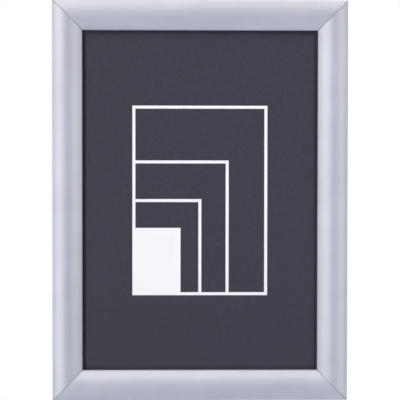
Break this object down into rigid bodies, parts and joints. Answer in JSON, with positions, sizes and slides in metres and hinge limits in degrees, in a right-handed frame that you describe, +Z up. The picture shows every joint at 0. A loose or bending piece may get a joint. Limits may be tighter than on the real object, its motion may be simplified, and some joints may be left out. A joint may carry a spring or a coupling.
{
  "type": "poster frame",
  "caption": "Wall frame for a standard sheet, with domed mitred aluminium rails that flip open on spring-loaded hinges and clamp the sheet behind a clear cover.",
  "frame": {"origin": "centre of the back, in the wall plane, midway between the four wall screw holes", "axes": "+Z up, +X to the right seen from the front, -Y out of the front; the back lies in the plane y = 0"},
  "size_m": [0.347, 0.0156, 0.47],
  "materials": {
    "satin_aluminium": "satin silver anodised extrusion",
    "mill_aluminium": "thin silver anodised extrusion",
    "key_steel": "galvanised, stamped",
    "spring_steel": "tempered strip, bright rolled",
    "panel_plastic": "white polystyrene sheet",
    "poster_paper": "matt printed paper",
    "cover_plastic": "clear anti-glare sheet"
  },
  "bodies": {
    "base_frame": {"base_rail_bottom": "mill_aluminium", "base_rail_right": "mill_aluminium", "base_rail_top": "mill_aluminium", "base_rail_left": "mill_aluminium", "corner_key_bottom_left": "key_steel", "corner_key_bottom_right": "key_steel", "corner_key_top_right": "key_steel", "corner_key_top_left": "key_steel", "spring_bottom_1": "spring_steel", "spring_bottom_2": "spring_steel", "spring_right_1": "spring_steel", "spring_right_2": "spring_steel", "spring_top_1": "spring_steel", "spring_top_2": "spring_steel", "spring_left_1": "spring_steel", "spring_left_2": "spring_steel", "back_panel": "panel_plastic", "poster": "poster_paper", "cover_sheet": "cover_plastic"},
    "bottom_snap_rail": {"front_rail_bottom": "satin_aluminium"},
    "right_snap_rail": {"front_rail_right": "satin_aluminium"},
    "top_snap_rail": {"front_rail_top": "satin_aluminium"},
    "left_snap_rail": {"front_rail_left": "satin_aluminium"}
  },
  "joints": [
    {"name": "bottom_rail_hinge", "type": "hinge", "parent": "base_frame", "child": "bottom_snap_rail", "pos_m": [0, -0.0065, -0.23244], "axis": [1, 0, 0], "range_deg": [0, 90], "deforming": ["spring_bottom_1", "spring_bottom_2"]},
    {"name": "right_rail_hinge", "type": "hinge", "parent": "base_frame", "child": "right_snap_rail", "pos_m": [0.17094, -0.0065, 0], "axis": [0, 0, 1], "range_deg": [0, 90], "deforming": ["spring_right_1", "spring_right_2"]},
    {"name": "top_rail_hinge", "type": "hinge", "parent": "base_frame", "child": "top_snap_rail", "pos_m": [0, -0.0065, 0.23244], "axis": [-1, 0, 0], "range_deg": [0, 90], "deforming": ["spring_top_1", "spring_top_2"]},
    {"name": "left_rail_hinge", "type": "hinge", "parent": "base_frame", "child": "left_snap_rail", "pos_m": [-0.17094, -0.0065, 0], "axis": [0, 0, -1], "range_deg": [0, 90], "deforming": ["spring_left_1", "spring_left_2"]}
  ]
}
